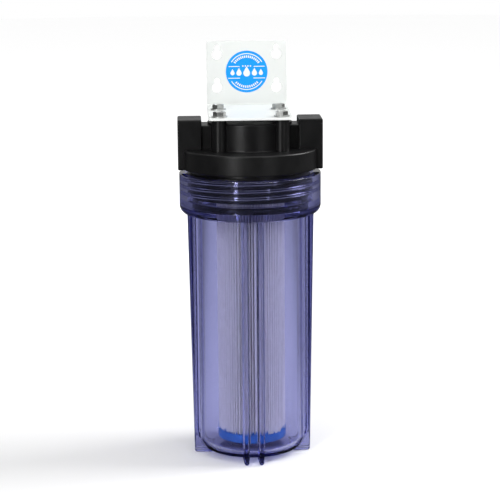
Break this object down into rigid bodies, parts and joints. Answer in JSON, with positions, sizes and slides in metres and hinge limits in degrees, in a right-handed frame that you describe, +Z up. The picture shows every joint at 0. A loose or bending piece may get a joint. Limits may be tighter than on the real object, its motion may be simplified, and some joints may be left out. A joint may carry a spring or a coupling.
{
  "type": "inline water filter",
  "caption": "Wall-hung water filter: clear screw-on bowl with a pleated cartridge inside, under a black two-port head on a steel angle bracket.",
  "frame": {"origin": "on the sump's axis, at the level that its feet stand on", "axes": "+Z up along the sump's axis, X from the inlet at -X to the outlet at +X, +Y towards the wall behind the bracket"},
  "size_m": [0.13, 0.1301, 0.3747],
  "materials": {
    "head_plastic": "satin black moulded plastic with a fine texture",
    "painted_steel": "white powder coat",
    "zinc_steel": "bright zinc plate",
    "label_film": "printed film",
    "clear_plastic": "clear violet-blue moulding, polished",
    "seal_rubber": "greased rubber",
    "filter_media": "pleated non-woven sheet",
    "core_plastic": "natural moulded plastic",
    "end_cap_plastic": "soft moulded plastic"
  },
  "bodies": {
    "mounting": {"head": "head_plastic", "bracket": "painted_steel", "bracket_screws": "zinc_steel", "label": "label_film"},
    "cartridge": {"cartridge_media": "filter_media", "cartridge_core": "core_plastic", "cartridge_top_cap": "end_cap_plastic", "cartridge_bottom_cap": "end_cap_plastic"},
    "bowl": {"sump": "clear_plastic", "sump_oring": "seal_rubber"}
  },
  "joints": [
    {"name": "cartridge_lowering", "type": "slide", "parent": "mounting", "child": "cartridge", "axis": [0, 0, -1], "range_m": [-0.0035, 0.0207]},
    {"name": "bowl_unscrewing", "type": "hinge", "parent": "cartridge", "child": "bowl", "pos_m": [0, 0, 0.13], "axis": [0, 0, -1], "range_deg": [-198, 1170]}
  ],
  "couplings": [
    {"joint": "cartridge_lowering", "follows": "bowl_unscrewing", "m_per_rad": 0.0010106}
  ]
}
